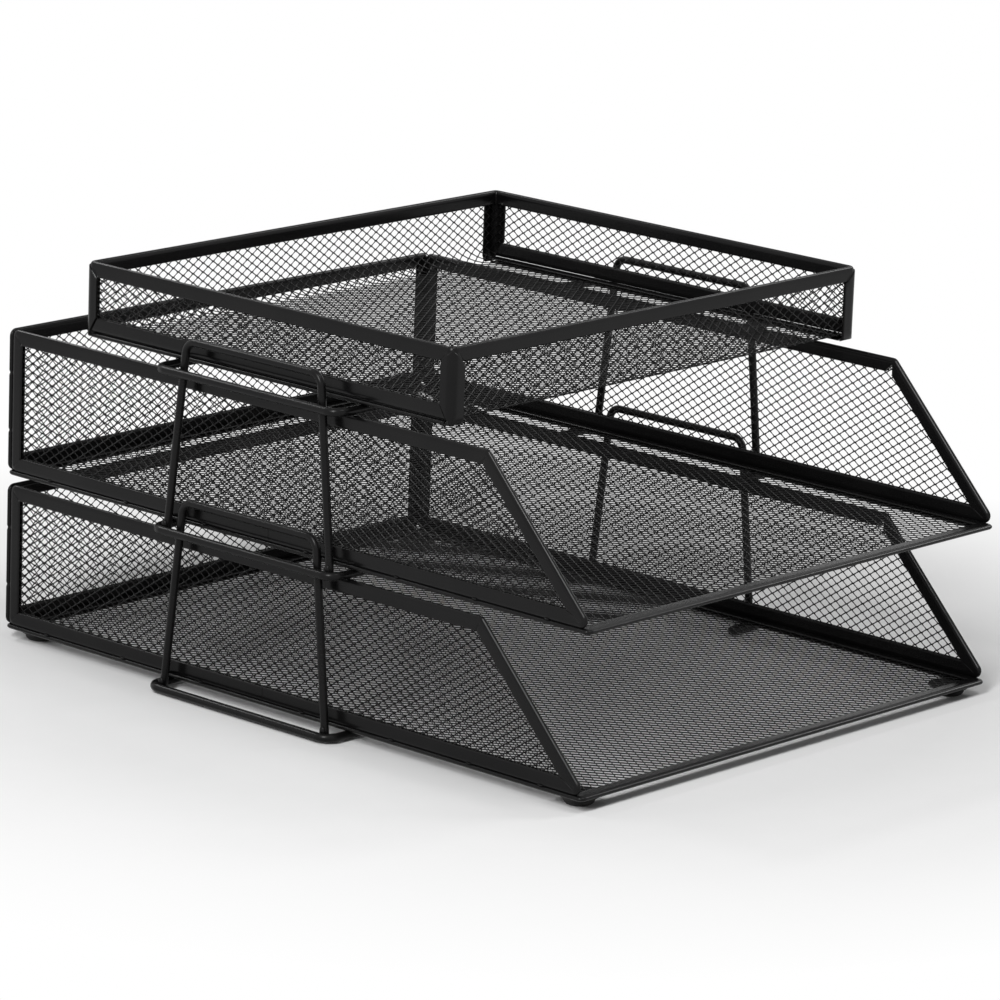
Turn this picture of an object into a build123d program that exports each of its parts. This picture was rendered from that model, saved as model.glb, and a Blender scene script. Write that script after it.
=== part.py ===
import math
import os

from build123d import *

os.makedirs("parts", exist_ok=True)

# Driving dimensions, in millimetres. X runs across the trays, -Y is the open front, Z is up.
tray_width = 254.0  # letter tray, across its side walls
tray_length = 328.0  # letter tray, front lip to back wall
tray_height = 63.0  # letter tray, underside of the floor frame to the rim
mouth_back = 55.7  # front lip to the upper end of a side wall's sloped front edge
mouth_run = 58.0  # how far that edge runs forward on its way down
basket_width = 248.5  # top tray, across its side walls
basket_length = 206.0  # top tray, front to back
basket_height = 32.0  # top tray, underside to rim
basket_back = 17.0  # middle of the top tray, behind the middle of the letter trays
stand_back = 15.5  # middle of the wire stands, likewise

# Folded strips that hold the mesh
mesh_gauge = 0.9
sheet = 0.75
fold_play = 0.05
flange = 6.2
panel_corner = 3.2
fold_bevel_share = 0.36  # bevels either side of a frame's folded edge, of the strip's thickness
fold_round_share = 0.42  # rounding of the top tray's folded edges, likewise
notch_width = 3.6
notch_depth_share = 0.55  # how far a corner notch runs out towards the panel's corner

# Mesh: diamond openings between flat strands, long across a wall and along a letter tray's floor
wall_cell_length = 37.0
wall_cell_height = 22.0
wall_strand = 2.4
floor_cell_length = 78.0
floor_cell_width = 43.0
floor_strand = 3.2
smallest_opening_share = 0.12  # trimmed openings below this share of a whole one stay closed
shortest_edge = 0.6

# Top tray: one mesh sheet bent up at the front and the back
basket_bend = 7.0
basket_corner = 3.0

# Bent wire at the sides, its round section drawn with flats
wire_flat_count = 10
loop_wire = 3.6
loop_reach = 8.8  # middle of the loop's bar, outside the wider tray's side
loop_bend = 6.0
arm_grip = 14.0  # arms under the floor frame
upright_wire = 3.4
upright_top_span = 75.5  # between the middles of the legs, at the top
leg_lean = 8.55  # how far a leg leans in on its way up
leg_inset = 5.2  # middle of a leg's foot, in from the middle of the loop's arm
upright_bend = 5.5
bar_stand = 4.4  # middle of the upright's top bar, outside the wider tray's side
bar_rise = 11.0  # the same bar, above the underside of the tray it holds in place

# Clearances
weld_gap = 0.05  # wire under a floor frame
leg_gap = 0.25  # legs inside the bar of the loop they are welded to
seat_gap = 0.3  # loops of one tray above the rims of the tray below

# Rubber feet
foot_diameter = 17.0
foot_height = 4.3
foot_inset = 11.0
foot_bevel = 1.6

# Worked out from the sizes above
slot = mesh_gauge + 2 * fold_play
strip_thickness = slot + 2 * sheet
fold_bevel = fold_bevel_share * strip_thickness
fold_round = fold_round_share * strip_thickness
mesh_depth = sheet + fold_play
loop_drop = weld_gap + loop_wire / 2
tray_pitch = tray_height + weld_gap + loop_wire + seat_gap
bottom_level = foot_height
middle_level = bottom_level + tray_pitch
top_level = middle_level + tray_pitch
half_width = tray_width / 2
half_length = tray_length / 2
basket_half_width = basket_width / 2
basket_half_length = basket_length / 2
side_reach = max(half_width, basket_half_width)
upright_foot_span = upright_top_span + 2 * leg_lean
loop_length = upright_foot_span + 2 * leg_inset  # between the middles of the loop's arms


def rounded(points, radius):
    """Face inside a closed outline with its corners rounded alike."""
    return make_face(FilletPolyline(*points, radius=radius, close=True))


def pairs(points):
    """Each point with the one after it, round a closed outline."""
    return list(zip(points, points[1:] + points[:1]))


def inset(points, distance):
    """A convex outline, anticlockwise, moved inwards by one distance."""
    corners = [Vector(*point) for point in points]
    moved = []
    for index, here in enumerate(corners):
        after = corners[(index + 1) % len(corners)]
        inward_before = (here - corners[index - 1]).normalized().rotate(Axis.Z, 90)
        inward_after = (after - here).normalized().rotate(Axis.Z, 90)
        both = inward_before + inward_after
        moved.append(here + both * (distance / (1 + inward_before.dot(inward_after))))
    return moved


def trimmed(shape, window):
    """The part of a convex shape that lies inside a convex window."""
    for start, end in pairs(window):
        kept = []
        for here, after in pairs(shape):
            depth = (end - start).cross(here - start).Z
            depth_after = (end - start).cross(after - start).Z
            if depth >= 0:
                kept.append(here)
            if depth * depth_after < 0:
                kept.append(here + (after - here) * (depth / (depth - depth_after)))
        shape = [here for here, after in pairs(kept) if (after - here).length > shortest_edge]
    return shape


def area(shape):
    """Area of a flat closed outline."""
    return sum(here.cross(after).Z for here, after in pairs(shape)) / 2


def diamonds(window, cell_width, cell_height, strand):
    """Diamond openings in staggered rows over a window, trimmed to it."""
    left = min(point.X for point in window)
    right = max(point.X for point in window)
    low = min(point.Y for point in window)
    high = max(point.Y for point in window)
    middle = (left + right) / 2
    columns = math.ceil((right - left) / cell_width / 2) + 1
    rows = math.ceil((high - low) / cell_height * 2) + 1
    inner_radius = cell_width * cell_height / math.hypot(cell_width, cell_height) / 2
    open_share = 1 - strand / 2 / inner_radius
    across = Vector(cell_width * open_share / 2, 0)
    up = Vector(0, cell_height * open_share / 2)
    openings = []
    for row in range(rows):
        shift = cell_width / 2 * (row % 2)
        for column in range(-columns, columns + 1):
            centre = Vector(middle + column * cell_width + shift, low + row * cell_height / 2)
            whole = [centre - across, centre - up, centre + across, centre + up]
            opening = trimmed(whole, window)
            if len(opening) > 2 and area(opening) > smallest_opening_share * area(whole):
                openings.append(opening)
    return openings


def net(outline, corner, window, cell_width, cell_height, strand):
    """Mesh sheet in its local plane: one face with all its openings, given its gauge."""
    edge = FilletPolyline(*outline, radius=corner, close=True) if corner else Polyline(*outline, close=True)
    holes = [Wire.make_polygon(points) for points in diamonds(window, cell_width, cell_height, strand)]
    return Pos(0, 0, mesh_depth) * extrude(Face(Wire(edge.edges()), holes), mesh_gauge, dir=(0, 0, 1))


def frame(outline, notched=()):
    """Strip folded over a panel's edge all round, its flanges notched at the corners it is bent round."""
    window = inset(outline, flange)
    plate = rounded(outline, panel_corner) - make_face(Polyline(*window, close=True))
    for index in notched:
        corner = Vector(*outline[index])
        inner = window[index]
        tip = inner + (corner - inner) * notch_depth_share
        along = (corner - inner).normalized().rotate(Axis.Z, 90) * (notch_width / 2)
        plate -= make_face(Polyline(tip, inner - along, inner * 2 - tip, inner + along, close=True))
    strip = extrude(plate, strip_thickness)
    faces = strip.faces().sort_by(Axis.Z)
    strip = chamfer(faces[0].outer_wire().edges() + faces[-1].outer_wire().edges(), fold_bevel)
    return strip - Pos(0, 0, sheet) * extrude(rounded(inset(outline, sheet), panel_corner - sheet), slot)


def panel(outline, cell_width, cell_height, strand, notched=()):
    """Mesh and frame of one flat panel in its local plane."""
    mesh_edge = inset(outline, mesh_depth)
    mesh = net(mesh_edge, panel_corner - mesh_depth, inset(outline, flange), cell_width, cell_height, strand)
    return {"mesh": mesh, "frame": frame(outline, notched)}


def rectangle(left, low, right, high):
    """Corners of an upright rectangle, anticlockwise."""
    return [(left, low), (right, low), (right, high), (left, high)]


def tube(path, diameter):
    """Wire along a path of straight runs and bends."""
    section = RegularPolygon(diameter / 2, wire_flat_count)
    return sweep(Plane(origin=path @ 0, z_dir=path % 0) * section, path=path)


def loop(grip_end):
    """Flat wire loop on the left side, arms under the floor from grip_end to the bar outside."""
    bar = -side_reach - loop_reach
    front = stand_back - loop_length / 2
    back = stand_back + loop_length / 2
    points = [(grip_end, front), (bar, front), (bar, back), (grip_end, back)]
    path = FilletPolyline(*[(x, y, -loop_drop) for x, y in points], radius=loop_bend)
    return tube(path, loop_wire)


def upright():
    """Standing wire arch inside the left loop, narrowing so that the next tray's loop drops over it."""
    foot_stand = loop_reach - loop_wire / 2 - leg_gap - upright_wire / 2
    foot = Vector(-side_reach - foot_stand, upright_foot_span / 2, -loop_drop)
    top = Vector(-side_reach - bar_stand, upright_top_span / 2, tray_pitch + bar_rise)
    points = [foot, top, Vector(top.X, -top.Y, top.Z), Vector(foot.X, -foot.Y, foot.Z)]
    path = FilletPolyline(*points, radius=upright_bend)
    return Pos(0, stand_back, 0) * tube(path, upright_wire)


def sides(name, left_shape):
    """A left-hand piece and its mirror image on the right, named for their sides."""
    return {f"left_{name}": left_shape, f"right_{name}": mirror(left_shape, about=Plane.YZ)}


left_side = Plane(origin=(-half_width, 0, 0), x_dir=(0, 1, 0), z_dir=(1, 0, 0))
back_side = Plane(origin=(0, half_length, 0), x_dir=(1, 0, 0), z_dir=(0, -1, 0))


def letter_tray():
    """One letter tray: four framed panels, two loops and two uprights."""
    floor_cell = (floor_cell_width, floor_cell_length, floor_strand)
    wall_cell = (wall_cell_length, wall_cell_height, wall_strand)
    floor = panel(rectangle(-half_width, -half_length, half_width, half_length), *floor_cell)
    slope_top = mouth_back - half_length
    wall_back = half_length - strip_thickness
    slope_end = (slope_top, tray_height)
    wall_outline = [
        (slope_top - mouth_run, strip_thickness),
        (wall_back, strip_thickness),
        (wall_back, tray_height),
        slope_end,
    ]
    wall = panel(wall_outline, *wall_cell, notched=[wall_outline.index(slope_end)])
    back = panel(rectangle(-half_width, strip_thickness, half_width, tray_height), *wall_cell)
    pieces = {}
    for kind in ("mesh", "frame"):
        pieces[f"floor_{kind}"] = floor[kind]
        pieces.update(sides(f"wall_{kind}", left_side * wall[kind]))
        pieces[f"back_wall_{kind}"] = back_side * back[kind]
    pieces.update(sides("loop", loop(arm_grip - half_width)))
    pieces.update(sides("upright", upright()))
    return pieces


def channel(length):
    """Straight folded strip along X, its mouth down, its outer face on Y = 0 and its foot on Z = 0."""
    bar = extrude(Pos(0, strip_thickness / 2) * Rectangle(length, strip_thickness), flange)
    bar = fillet(bar.faces().sort_by(Axis.Z)[-1].edges().filter_by(Axis.X), fold_round)
    depth = flange - sheet
    return bar - Pos(0, strip_thickness / 2, depth / 2) * Box(length, slot, depth)


def mitred(strip, length):
    """A channel with both ends cut back at 45 degrees towards its inner face."""
    for end in (1, -1):
        cut = Plane(origin=(end * length / 2, 0, 0), z_dir=(end, 1, 0))
        strip = split(strip, bisect_by=cut, keep=Keep.BOTTOM)
    return strip


def corner_strip():
    """Angle strip round the front left corner of the top tray, its foot rounded like the bent sheet."""
    half_sheet = sheet / 2
    ends = [(flange, half_sheet), (half_sheet, half_sheet), (half_sheet, flange)]
    line = FilletPolyline(*ends, radius=basket_corner - half_sheet)
    rise = basket_height - flange - strip_thickness
    strip = extrude(trace(line, line_width=sheet), rise)
    strip = Pos(-basket_half_width, -basket_half_length, strip_thickness) * strip
    side_view = rectangle(-basket_half_length, 0, basket_half_length, basket_height)
    envelope = extrude(rounded(side_view, basket_bend), basket_width)
    return strip & (Plane(origin=(-basket_half_width, 0, 0), x_dir=(0, 1, 0), z_dir=(1, 0, 0)) * envelope)


def basket():
    """The top tray, its middle on X = Y = 0: bent mesh sheet, side walls, rims, strips and loops."""
    floor_cell = (floor_cell_length, floor_cell_width, floor_strand)
    wall_cell = (wall_cell_length, wall_cell_height, wall_strand)
    rim_foot = basket_height - flange
    mesh_top = basket_height - mesh_depth
    flat_half = basket_half_length - mesh_depth - basket_bend
    wall_half = basket_half_width - basket_corner
    side_half = basket_half_length - basket_corner
    strip_top = strip_thickness + flange
    bend_top = mesh_depth + basket_bend

    def flat_net(outline, window, cell):
        return net(outline, 0, [Vector(*point) for point in window], *cell)

    floor_half = basket_half_width - mesh_depth
    floor_reach = flat_half - floor_strand
    floor_side = basket_half_width - flange
    floor_window = rectangle(-floor_side, -floor_reach, floor_side, floor_reach)
    end_edge = rectangle(-wall_half, bend_top, wall_half, mesh_top)
    end_low = bend_top + wall_strand
    end_window = rectangle(-floor_side, end_low, floor_side, rim_foot)
    side_edge = rectangle(-side_half, strip_thickness + mesh_depth, side_half, mesh_top)
    side_window = rectangle(flange - basket_half_length, strip_top, basket_half_length - flange, rim_foot)

    end_plane = Plane(origin=(0, basket_half_length, 0), x_dir=(1, 0, 0), z_dir=(0, -1, 0))
    side_plane = Plane(origin=(-basket_half_width, 0, 0), x_dir=(0, 1, 0), z_dir=(1, 0, 0))
    back_mesh = end_plane * flat_net(end_edge, end_window, wall_cell)
    ring = Circle(basket_bend) - Circle(basket_bend - mesh_gauge)
    quarter = ring & (Pos(-basket_bend / 2, -basket_bend / 2) * Rectangle(basket_bend, basket_bend))
    bend_plane = Plane(origin=(-wall_half, -flat_half, bend_top), x_dir=(0, 1, 0), z_dir=(1, 0, 0))
    front_bend = bend_plane * extrude(quarter, 2 * wall_half)
    floor_edge = rectangle(-floor_half, -flat_half, floor_half, flat_half)
    end_rim = Pos(0, -basket_half_length, rim_foot) * mitred(channel(basket_width), basket_width)
    side_rim = Rot(0, 0, -90) * mitred(channel(basket_length), basket_length)
    side_strip = Rot(180, 0, -90) * channel(2 * (basket_half_length - flange))
    floor_strip = Rot(0, -90, 0) * Rot(0, 0, 90) * channel(2 * flat_half)
    front_left = corner_strip()
    front_right = mirror(front_left, about=Plane.YZ)

    pieces = {
        "floor_mesh": flat_net(floor_edge, floor_window, floor_cell),
        "front_mesh": mirror(back_mesh, about=Plane.XZ),
        "back_mesh": back_mesh,
        "front_bend_mesh": front_bend,
        "back_bend_mesh": mirror(front_bend, about=Plane.XZ),
        "front_rim": end_rim,
        "back_rim": mirror(end_rim, about=Plane.XZ),
        "front_left_corner": front_left,
        "front_right_corner": front_right,
        "back_left_corner": mirror(front_left, about=Plane.XZ),
        "back_right_corner": mirror(front_right, about=Plane.XZ),
    }
    pieces.update(sides("wall_mesh", side_plane * flat_net(side_edge, side_window, wall_cell)))
    pieces.update(sides("rim", Pos(-basket_half_width, 0, rim_foot) * side_rim))
    pieces.update(sides("wall_strip", Pos(-basket_half_width, 0, strip_top) * side_strip))
    pieces.update(sides("floor_strip", Pos(flange - basket_half_width, 0, strip_thickness) * floor_strip))
    return pieces


def foot():
    """Rubber foot standing on Z = 0, its lower edge bevelled."""
    pad = Pos(0, 0, foot_height / 2) * Cylinder(foot_diameter / 2, foot_height)
    return chamfer(pad.edges().sort_by(Axis.Z)[0], foot_bevel)


nodes = {}
tray_pieces = letter_tray()
for tray, level in (("bottom", bottom_level), ("middle", middle_level)):
    for name, shape in tray_pieces.items():
        nodes[f"{tray}_{name}"] = Pos(0, 0, level) * shape
for name, shape in basket().items():
    nodes[f"top_{name}"] = Pos(0, basket_back, top_level) * shape
for name, shape in sides("loop", loop(arm_grip - basket_half_width)).items():
    nodes[f"top_{name}"] = Pos(0, 0, top_level) * shape
for end, toward in (("front", -1), ("back", 1)):
    place = Pos(foot_inset - half_width, toward * (half_length - foot_inset), 0)
    for name, shape in sides("foot", place * foot()).items():
        nodes[f"{end}_{name}"] = shape

for name, shape in nodes.items():
    export_step(shape, f"parts/{name}.step")
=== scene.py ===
import math

import bmesh
import bpy
import numpy as np
from mathutils import Matrix, Vector


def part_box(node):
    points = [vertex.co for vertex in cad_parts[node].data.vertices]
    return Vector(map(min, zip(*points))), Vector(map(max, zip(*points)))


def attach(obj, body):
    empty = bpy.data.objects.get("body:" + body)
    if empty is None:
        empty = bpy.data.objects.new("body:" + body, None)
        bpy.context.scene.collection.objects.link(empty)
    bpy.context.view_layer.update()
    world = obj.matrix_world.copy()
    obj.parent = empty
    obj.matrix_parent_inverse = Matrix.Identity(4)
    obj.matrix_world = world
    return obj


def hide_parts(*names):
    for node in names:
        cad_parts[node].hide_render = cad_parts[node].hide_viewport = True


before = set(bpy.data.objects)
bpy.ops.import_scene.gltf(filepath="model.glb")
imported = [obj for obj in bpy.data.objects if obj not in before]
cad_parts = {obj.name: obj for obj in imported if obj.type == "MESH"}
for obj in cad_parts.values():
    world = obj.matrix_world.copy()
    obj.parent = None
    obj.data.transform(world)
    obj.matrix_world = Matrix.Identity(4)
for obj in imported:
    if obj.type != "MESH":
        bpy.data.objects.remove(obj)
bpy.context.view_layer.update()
mm = 0.001
print("frame loaded:", len(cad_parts), "nodes")


# Shader sums

class Term:  # one socket, so that masks can be written as plain sums
    def __init__(self, finish, socket):
        self.finish = finish
        self.socket = socket

    def sums(self, operation, first, second):
        return self.finish.node("ShaderNodeMath", {"operation": operation}, {0: first, 1: second})

    def __add__(self, other):
        return self.sums("ADD", self, other)

    def __radd__(self, other):
        return self.sums("ADD", other, self)

    def __sub__(self, other):
        return self.sums("SUBTRACT", self, other)

    def __rsub__(self, other):
        return self.sums("SUBTRACT", other, self)

    def __mul__(self, other):
        return self.sums("MULTIPLY", self, other)

    def __rmul__(self, other):
        return self.sums("MULTIPLY", other, self)


class Finish:  # one material or world, and the nodes in it
    def __init__(self, holder):
        holder.use_nodes = True
        self.holder = holder
        self.tree = holder.node_tree
        self.tree.nodes.clear()

    def node(self, kind, settings=None, sockets=None, give=0):
        made = self.tree.nodes.new(kind)
        for name, value in (settings or {}).items():
            setattr(made, name, value)
        for name, value in (sockets or {}).items():
            if isinstance(value, Term):
                self.tree.links.new(value.socket, made.inputs[name])
            else:
                made.inputs[name].default_value = value
        return Term(self, made.outputs[give]) if len(made.outputs) else made

    def place(self):  # the piece's own coordinates, metres
        return self.node("ShaderNodeTexCoord", give="Object")

    def noise(self, scale, detail):
        return self.node("ShaderNodeTexNoise", {"noise_dimensions": "3D"},
                         {"Vector": self.place(), "Scale": scale, "Detail": detail})

    def ramp(self, mask, low, high):  # mask stretched from low..high to 0..1
        return self.node("ShaderNodeMapRange", {"clamp": True},
                         {"Value": mask, "From Min": low, "From Max": high})

    def spots(self, values):  # noise stretched to a mask
        return self.ramp(self.noise(values["scale"], values["detail"]), values["low"], values["high"])

    def tint(self, mask, dark, light):
        return self.node("ShaderNodeMix", {"data_type": "RGBA"}, {0: mask, 6: dark, 7: light}, give=2)


# Finishes

coat = {
    "black": (0.0036, 0.0035, 0.0037, 1.0),
    "dusty": (0.0070, 0.0068, 0.0067, 1.0),
    "rubbed": (0.040, 0.033, 0.028, 1.0),  # coat worn thin on sharp edges
    "specular": 0.15,
    "roughLow": 0.17,
    "roughHigh": 0.29,
    "cloud": {"scale": 28.0, "detail": 3.0, "low": 0.35, "high": 0.70},  # scale: spots to the metre
    "cloudShare": 0.7,  # of the dust; the specks have the rest
    "cloudRough": 0.5,  # of the change in roughness; the peel has the rest
    "speck": {"scale": 5200.0, "detail": 1.0, "low": 0.62, "high": 0.78},
    "peelScale": 1500.0,  # orange peel
    "peelDetail": 2.0,
    "peelDepth": 0.03 * mm,
    "peelStrength": 0.14,
    "edge": 0.4 * mm,
    "edgeSamples": 6,
    "patch": {"scale": 160.0, "detail": 3.0, "low": 0.42, "high": 0.75},
    "wornLow": 0.05,  # turn of an edge at which wear starts, and at which it is full
    "wornHigh": 0.45,
    "wornLeast": 0.25,  # wear left between the patches
    "wornRough": 0.10,
}


def edgeMask(finish):  # 1 on sharp outer edges, 0 on flats
    soft = finish.node("ShaderNodeBevel", {"samples": coat["edgeSamples"]}, {"Radius": coat["edge"]})
    flat = finish.node("ShaderNodeNewGeometry", give="Normal")
    return 1 - finish.node("ShaderNodeVectorMath", {"operation": "DOT_PRODUCT"}, {0: soft, 1: flat}, "Value")


def powderCoat(name, peel, wear, rougher=0.0):
    finish = Finish(bpy.data.materials.new(name))
    cloud = finish.spots(coat["cloud"])
    grain = finish.noise(coat["peelScale"], coat["peelDetail"])
    speck = finish.spots(coat["speck"])
    dust = cloud * coat["cloudShare"] + speck * (1 - coat["cloudShare"])
    base = finish.tint(dust, coat["black"], coat["dusty"])
    uneven = cloud * coat["cloudRough"] + grain * (1 - coat["cloudRough"])
    rough = coat["roughLow"] + rougher + (coat["roughHigh"] - coat["roughLow"]) * uneven
    bumpSockets = {"Height": grain * peel, "Distance": coat["peelDepth"], "Strength": coat["peelStrength"]}
    if wear:
        edge = finish.ramp(edgeMask(finish), coat["wornLow"], coat["wornHigh"])
        patchy = coat["wornLeast"] + (1 - coat["wornLeast"]) * finish.spots(coat["patch"])
        worn = edge * patchy * wear
        base = finish.tint(worn, base, coat["rubbed"])
        rough = rough + worn * coat["wornRough"]
    normal = finish.node("ShaderNodeBump", None, bumpSockets)
    shader = finish.node("ShaderNodeBsdfPrincipled", None, {
        "Base Color": base, "Roughness": rough, "Normal": normal,
        "Specular IOR Level": coat["specular"],
    })
    finish.node("ShaderNodeOutputMaterial", None, {"Surface": shader})
    return finish.holder


rubber = {
    "dark": (0.010, 0.010, 0.010, 1.0),
    "chalky": (0.030, 0.029, 0.027, 1.0),
    "specular": 0.25,
    "rough": 0.62,
    "scuffRough": 0.20,  # added on the scuffs
    "scuff": {"scale": 220.0, "detail": 4.0, "low": 0.45, "high": 0.75},
    "poreScale": 2600.0,
    "poreDetail": 3.0,
    "poreDepth": 0.06 * mm,
    "poreStrength": 0.7,
}


def footRubber(name):
    finish = Finish(bpy.data.materials.new(name))
    pores = finish.noise(rubber["poreScale"], rubber["poreDetail"])
    scuff = finish.spots(rubber["scuff"])
    bumpSockets = {"Height": pores, "Distance": rubber["poreDepth"], "Strength": rubber["poreStrength"]}
    shader = finish.node("ShaderNodeBsdfPrincipled", None, {
        "Base Color": finish.tint(scuff, rubber["dark"], rubber["chalky"]),
        "Roughness": rubber["rough"] + rubber["scuffRough"] * scuff,
        "Normal": finish.node("ShaderNodeBump", None, bumpSockets),
        "Specular IOR Level": rubber["specular"],
    })
    finish.node("ShaderNodeOutputMaterial", None, {"Surface": shader})
    return finish.holder


stripCoat = powderCoat("stripCoat", 1.0, 0.5)
wireCoat = powderCoat("wireCoat", 0.8, 0.0, rougher=0.05)
meshCoat = powderCoat("meshCoat", 0.8, 0.0, rougher=0.10)
footPad = footRubber("footPad")
print("finishes made")


# Pieces

pieceMesh = {
    "sharp": math.radians(50),  # shading breaks at edges that turn more than this
    "grid": 1e7,  # steps to the metre; points on the same step are one
}


def addPiece(name, verts, faces, finish, slot, body, replaced=(), sharp=pieceMesh["sharp"]):
    mesh = bpy.data.meshes.new(name)
    mesh.from_pydata([tuple(v) for v in verts], [], [tuple(f) for f in faces])
    mesh.update()
    tidy = bmesh.new()
    tidy.from_mesh(mesh)
    bmesh.ops.remove_doubles(tidy, verts=tidy.verts, dist=1 / pieceMesh["grid"])
    bmesh.ops.recalc_face_normals(tidy, faces=tidy.faces)
    tidy.to_mesh(mesh)
    tidy.free()
    piece = bpy.data.objects.new(name, mesh)
    bpy.context.scene.collection.objects.link(piece)
    evenNormals(piece)
    return dress(piece, finish, body, replaced, sharp)


def evenNormals(piece):  # wide faces keep their own shading, small ones take the turn
    even = piece.modifiers.new("evenNormals", "WEIGHTED_NORMAL")
    even.mode = "FACE_AREA"
    even.keep_sharp = True


def dress(piece, finish, body, replaced, sharp):
    mesh = piece.data
    mesh.materials.clear()
    mesh.materials.append(finish)
    mesh.polygons.foreach_set("use_smooth", [True] * len(mesh.polygons))
    if sharp:
        mesh.set_sharp_from_angle(angle=sharp)
    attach(piece, body)
    if replaced:
        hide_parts(*replaced)
    return piece


def bodyOf(tray):
    return f"{tray}_tray"


# Planes of the panels: a point is origin + u, v along the panel and n into it from its outer face

class Plane:
    def __init__(self, origin, u, v, n):
        self.origin, self.u, self.v, self.n = Vector(origin), Vector(u), Vector(v), Vector(n)

    def at(self, u, v, n=0.0):
        return self.origin + self.u * u + self.v * v + self.n * n


# Expanded steel mesh

steelMesh = {
    "long": 5.83 * mm,  # opening to opening, along the long diagonal
    "short": 3.88 * mm,
    "strand": 0.42 * mm,
    "gauge": 0.50 * mm,
    "endRound": 0.88,  # how far the openings' sharp ends are filled by the coat
    "sideRound": 0.96,
    "margin": 3.2 * mm,  # mesh that goes on under the flanges
    "spare": 3,  # openings laid out past the window, then trimmed to the margin
}


def latticeMesh(name, window, keep, pitch, place, tray, replaced):
    # window: u0, v0, u1, v1; keep: test on openings' centres; place: (u, v, n) arrays to points
    u0, v0, u1, v1 = window
    stepU, stepV = pitch[0] / 2, pitch[1] / 2
    middleU, middleV = (u0 + u1) / 2, (v0 + v1) / 2
    countU = int((u1 - u0) / 2 / stepU) + steelMesh["spare"]
    countV = int((v1 - v0) / 2 / stepV) + steelMesh["spare"]
    i, j = np.meshgrid(np.arange(-countU, countU + 1), np.arange(-countV, countV + 1), indexing="ij")
    openings = np.stack([i[(i + j) % 2 == 1], j[(i + j) % 2 == 1]], 1)
    centres = openings * (stepU, stepV) + (middleU, middleV)
    openings = openings[keep(centres[:, 0], centres[:, 1])]
    centres = openings * (stepU, stepV) + (middleU, middleV)
    count = len(openings)
    around = np.array([(1, 0), (0, 1), (-1, 0), (0, -1)])
    corners = openings[:, None, :] + around[None]
    keys, corner = np.unique(corners.reshape(-1, 2), axis=0, return_inverse=True)
    corner = corner.reshape(count, 4)
    joints = keys * (stepU, stepV) + (middleU, middleV)
    reach = stepU * stepV / math.hypot(stepU, stepV)
    share = 1 - steelMesh["strand"] / 2 / reach
    longIsU = pitch[0] > pitch[1]
    endU = share * stepU * (steelMesh["endRound"] if longIsU else steelMesh["sideRound"])
    endV = share * stepV * (steelMesh["sideRound"] if longIsU else steelMesh["endRound"])
    sideU, sideV = share * stepU / 2, share * stepV / 2
    ring = np.array([(endU, 0), (sideU, sideV), (0, endV), (-sideU, sideV),
                     (-endU, 0), (-sideU, -sideV), (0, -endV), (sideU, -sideV)])
    waist = (centres[:, None, :] + ring[None]).reshape(-1, 2)
    flat = np.concatenate([joints, joints, waist])
    depth = np.concatenate([np.full(len(joints), -0.5), np.full(len(joints), 0.5), np.zeros(len(waist))])
    depth = depth * steelMesh["gauge"]
    points = place(flat[:, 0], flat[:, 1], depth)
    back, front, first = 0, len(joints), 2 * len(joints)
    faces = []
    for quarter in range(4):
        a, b = corner[:, quarter], corner[:, (quarter + 1) % 4]
        hole = first + 8 * np.arange(count)
        w0, w1, w2 = hole + 2 * quarter, hole + 2 * quarter + 1, hole + (2 * quarter + 2) % 8
        faces.append(np.stack([front + a, front + b, w2, w1, w0], 1))
        faces.append(np.stack([w0, w1, w2, back + b, back + a], 1))
    faces = np.concatenate(faces)
    runs = np.concatenate([np.stack([corner[:, q], corner[:, (q + 1) % 4]], 1) for q in range(4)])
    ordered = np.sort(runs, 1)
    unused, index, uses = np.unique(ordered, axis=0, return_inverse=True, return_counts=True)
    rim = runs[uses[index.reshape(-1)] == 1]  # strands with an opening on one side only are closed off
    walls = np.stack([front + rim[:, 1], front + rim[:, 0], back + rim[:, 0], back + rim[:, 1]], 1)
    mesh = bpy.data.meshes.new(name)
    sizes = np.concatenate([np.full(len(faces), 5), np.full(len(walls), 4)])
    loops = np.concatenate([faces.ravel(), walls.ravel()])
    mesh.vertices.add(len(points))
    mesh.vertices.foreach_set("co", points.astype(np.float32).ravel())
    mesh.loops.add(len(loops))
    mesh.loops.foreach_set("vertex_index", loops.astype(np.int32))
    mesh.polygons.add(len(sizes))
    mesh.polygons.foreach_set("loop_start", np.concatenate([[0], np.cumsum(sizes)[:-1]]).astype(np.int32))
    mesh.update(calc_edges=True)
    lay = mesh.uv_layers.new(name="OFBake")
    spread = (flat - flat.min(0)) / (flat.max(0) - flat.min(0))
    lay.data.foreach_set("uv", spread[loops].astype(np.float32).ravel())
    piece = bpy.data.objects.new(name, mesh)
    bpy.context.scene.collection.objects.link(piece)
    return dress(piece, meshCoat, bodyOf(tray), replaced, sharp=None)


def flatPlace(plane, depth):
    origin, u, v, n = (np.array(part) for part in (plane.origin, plane.u, plane.v, plane.n))

    def place(us, vs, ns):
        return origin + us[:, None] * u + vs[:, None] * v + (depth + ns)[:, None] * n
    return place


def inWindow(window, slope=None):  # openings that show in the window, and those just under the flanges
    u0, v0, u1, v1 = window
    margin = steelMesh["margin"]

    def keep(us, vs):
        inside = (us > u0 - margin) & (us < u1 + margin) & (vs > v0 - margin) & (vs < v1 + margin)
        if slope:
            (pu, pv), (nu, nv) = slope
            inside &= (us - pu) * nu + (vs - pv) * nv > -margin
        return inside
    return keep


# Folded strip: its section, d in from the panel's edge and n through its thickness

def boxSize(node):
    low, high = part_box(node)
    return high - low


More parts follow.
